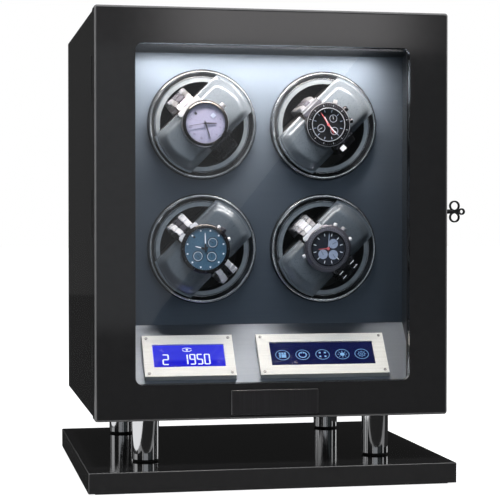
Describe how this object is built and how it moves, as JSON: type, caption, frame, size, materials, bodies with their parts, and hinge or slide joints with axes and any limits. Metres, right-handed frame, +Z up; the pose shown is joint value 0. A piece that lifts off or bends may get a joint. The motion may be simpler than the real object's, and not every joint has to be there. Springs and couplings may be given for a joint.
{
  "type": "watch winder box",
  "caption": "Lacquered display cabinet on chrome legs with a glass door, geared rotors that turn wrist watches, a touch console and a side lock.",
  "frame": {"origin": "centre of the underside of the felt sheet under the base plate", "axes": "+X to the right seen from the front, +Y into the depth so that the door faces -Y, +Z up"},
  "size_m": [0.3311, 0.286, 0.3988],
  "materials": {
    "felt": "black felt sheet",
    "lacquer": "high-gloss black lacquer on fibreboard",
    "chrome_tube": "mirror chrome plate",
    "glide": "moulded rubber ring",
    "bolt_steel": "zinc plated steel",
    "back_hardboard": "black painted hardboard",
    "liner": "dark slate laminate",
    "led": "frosted light strip",
    "fascia": "brushed and anodised sheet",
    "steel_plate": "long-grain brushed plate",
    "lcd": "backlit display under a clear pane",
    "touch": "glossy touch pane over a dark printed layer",
    "board": "green circuit board",
    "socket": "moulded black",
    "carrier": "moulded black",
    "bush": "natural acetal",
    "ring": "smoked metallised moulding",
    "cup": "grey moulding with a silvered flange",
    "holder": "smoky silver moulding",
    "watch_steel": "brushed and polished steel",
    "watch_black": "black coated steel",
    "motor": "plated can",
    "hinge": "black plated steel",
    "glass": "clear float glass",
    "retainer": "black moulded bead",
    "name_plate": "bare dark metal plate",
    "zinc": "nickel plated zinc",
    "key": "dark nickel plated key"
  },
  "bodies": {
    "cabinet": {"back_board": "back_hardboard", "back_screws": "bolt_steel", "base_felt": "felt", "base_plate": "lacquer", "bezel_ring_lower_left": "ring", "bezel_ring_lower_right": "ring", "bezel_ring_upper_left": "ring", "bezel_ring_upper_right": "ring", "bezel_screws": "bolt_steel", "bottom_board": "lacquer", "carrier_posts": "carrier", "ceiling_panel": "liner", "console_panel": "fascia", "control_board": "board", "dc_socket": "socket", "fascia_panel": "fascia", "gear_motor_left": "motor", "gear_motor_right": "motor", "hinge_leaves_cabinet": "hinge", "lcd_bezel": "steel_plate", "lcd_module": "lcd", "led_strip": "led", "leg_bolts": "bolt_steel", "leg_front_left": "chrome_tube", "leg_front_right": "chrome_tube", "leg_glides": "glide", "leg_rear_left": "chrome_tube", "leg_rear_right": "chrome_tube", "lock_barrel": "zinc", "motor_carrier": "carrier", "rotor_bushes": "bush", "side_board_left": "lacquer", "side_board_right": "lacquer", "side_liner_left": "liner", "side_liner_right": "liner", "top_board": "lacquer", "touch_bezel": "steel_plate", "touch_panel": "touch"},
    "door": {"door_frame": "lacquer", "door_glass": "glass", "glass_retainer": "retainer", "name_plate": "name_plate", "hinge_leaves_door": "hinge", "lock_striker": "zinc"},
    "lock_plug": {"lock_plug": "zinc"},
    "key": {"key": "key"},
    "rotor_upper_left": {"rotor_cup_upper_left": "cup", "watch_holder_upper_left": "holder", "watch_upper_left": "watch_steel"},
    "rotor_upper_right": {"rotor_cup_upper_right": "cup", "watch_holder_upper_right": "holder", "watch_upper_right": "watch_black"},
    "rotor_lower_left": {"rotor_cup_lower_left": "cup", "watch_holder_lower_left": "holder", "watch_lower_left": "watch_steel"},
    "rotor_lower_right": {"rotor_cup_lower_right": "cup", "watch_holder_lower_right": "holder", "watch_lower_right": "watch_steel"},
    "pinion_left": {"pinion_left": "bush"},
    "pinion_right": {"pinion_right": "bush"}
  },
  "joints": [
    {"name": "door_swing", "type": "hinge", "parent": "cabinet", "child": "door", "pos_m": [-0.1488, -0.116, 0.22875], "axis": [0, 0, -1], "range_deg": [0, 105]},
    {"name": "lock_turn", "type": "hinge", "parent": "cabinet", "child": "lock_plug", "pos_m": [0.14, -0.1045, 0.2312], "axis": [-1, 0, 0], "range_deg": [0, 90]},
    {"name": "key_pull", "type": "slide", "parent": "lock_plug", "child": "key", "axis": [1, 0, 0], "range_m": [0, 0.022]},
    {"name": "spin_lower_left", "type": "hinge", "parent": "cabinet", "child": "rotor_lower_left", "pos_m": [-0.0532, -0.0605, 0.1994], "axis": [0, -1, 0], "continuous": true},
    {"name": "spin_lower_right", "type": "hinge", "parent": "cabinet", "child": "rotor_lower_right", "pos_m": [0.0532, -0.0605, 0.1994], "axis": [0, -1, 0], "continuous": true},
    {"name": "spin_upper_left", "type": "hinge", "parent": "cabinet", "child": "rotor_upper_left", "pos_m": [-0.0532, -0.0605, 0.3054], "axis": [0, -1, 0], "continuous": true},
    {"name": "spin_upper_right", "type": "hinge", "parent": "cabinet", "child": "rotor_upper_right", "pos_m": [0.0532, -0.0605, 0.3054], "axis": [0, -1, 0], "continuous": true},
    {"name": "spin_pinion_left", "type": "hinge", "parent": "cabinet", "child": "pinion_left", "pos_m": [-0.0532, -0.017, 0.2524], "axis": [0, -1, 0], "continuous": true},
    {"name": "spin_pinion_right", "type": "hinge", "parent": "cabinet", "child": "pinion_right", "pos_m": [0.0532, -0.017, 0.2524], "axis": [0, -1, 0], "continuous": true}
  ],
  "couplings": [
    {"joint": "spin_upper_left", "follows": "spin_lower_left", "ratio": 1},
    {"joint": "spin_pinion_left", "follows": "spin_lower_left", "ratio": -3.8182},
    {"joint": "spin_upper_right", "follows": "spin_lower_right", "ratio": 1},
    {"joint": "spin_pinion_right", "follows": "spin_lower_right", "ratio": -3.8182}
  ]
}
